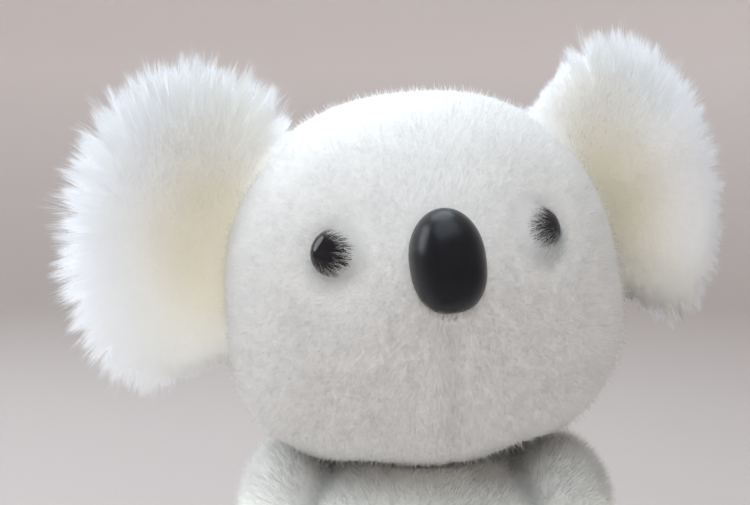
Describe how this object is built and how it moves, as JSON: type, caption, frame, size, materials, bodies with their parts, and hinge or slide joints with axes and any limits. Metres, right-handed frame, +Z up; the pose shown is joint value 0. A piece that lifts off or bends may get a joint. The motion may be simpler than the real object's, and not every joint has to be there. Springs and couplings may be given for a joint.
{
  "type": "plush koala",
  "caption": "Seated plush koala with a broad head that turns and tilts, large folding ears, a moulded nose, safety eyes, swinging arms and lifting legs.",
  "frame": {"origin": "middle of the torso's flat seat, on the surface that the toy sits on", "axes": "+Z up from the seat, -Y the way the body faces, +X the toy's own left side"},
  "size_m": [0.2612, 0.1568, 0.3201],
  "materials": {
    "pale_fur": "long white pile, soft and matt",
    "cream_fur": "cream pile, soft and matt",
    "black_plastic": "semi-gloss moulded plastic",
    "white_plastic": "natural moulded plastic",
    "fibre_filling": "loose white fibre",
    "bag_cotton": "plain woven cotton"
  },
  "bodies": {
    "torso": {"torso_cover": "pale_fur", "torso_filling": "fibre_filling", "pellet_bag": "bag_cotton"},
    "neck": {"neck_filling": "fibre_filling"},
    "head": {"head_cover": "pale_fur", "head_filling": "fibre_filling", "left_eye": "black_plastic", "right_eye": "black_plastic", "left_eye_washer": "white_plastic", "right_eye_washer": "white_plastic", "nose": "black_plastic", "nose_washer": "white_plastic"},
    "left_ear": {"left_ear_front": "cream_fur", "left_ear_back": "pale_fur"},
    "right_ear": {"right_ear_front": "cream_fur", "right_ear_back": "pale_fur"},
    "left_arm": {"left_arm_cover": "pale_fur", "left_arm_filling": "fibre_filling"},
    "right_arm": {"right_arm_cover": "pale_fur", "right_arm_filling": "fibre_filling"},
    "left_leg": {"left_leg_cover": "pale_fur", "left_leg_filling": "fibre_filling"},
    "right_leg": {"right_leg_cover": "pale_fur", "right_leg_filling": "fibre_filling"}
  },
  "joints": [
    {"name": "head_turn", "type": "hinge", "parent": "torso", "child": "neck", "pos_m": [-0.002, -0.006, 0.225], "axis": [0, 0, 1], "range_deg": [-31.4, 18.6], "stiffness_Nm_per_rad": 0.1},
    {"name": "head_tilt", "type": "hinge", "parent": "neck", "child": "head", "pos_m": [-0.002, -0.006, 0.225], "axis": [-0.1115, 0.9938, 0], "range_deg": [-4, 16], "stiffness_Nm_per_rad": 0.4},
    {"name": "left_ear_fold", "type": "hinge", "parent": "head", "child": "left_ear", "pos_m": [0.07922, 0.01116, 0.24726], "axis": [-0.3561, -0.0399, 0.9336], "range_deg": [-30, 24], "stiffness_Nm_per_rad": 0.03},
    {"name": "right_ear_fold", "type": "hinge", "parent": "head", "child": "right_ear", "pos_m": [-0.08781, -0.00757, 0.22959], "axis": [0.1555, 0.0174, 0.9877], "range_deg": [-37, 17], "stiffness_Nm_per_rad": 0.03},
    {"name": "left_arm_swing", "type": "hinge", "parent": "torso", "child": "left_arm", "pos_m": [0.0425, -0.008, 0.125], "axis": [0.8688, -0.2823, 0.4067], "range_deg": [-58, 52]},
    {"name": "right_arm_swing", "type": "hinge", "parent": "torso", "child": "right_arm", "pos_m": [-0.0425, -0.008, 0.125], "axis": [0.8688, 0.2823, -0.4067], "range_deg": [-58, 52]},
    {"name": "left_leg_lift", "type": "hinge", "parent": "torso", "child": "left_leg", "pos_m": [0.059, -0.012, 0.0235], "axis": [0.9848, -0.1736, 0], "range_deg": [-30, 0]},
    {"name": "right_leg_lift", "type": "hinge", "parent": "torso", "child": "right_leg", "pos_m": [-0.059, -0.012, 0.0235], "axis": [0.9848, 0.1736, 0], "range_deg": [-30, 0]}
  ]
}
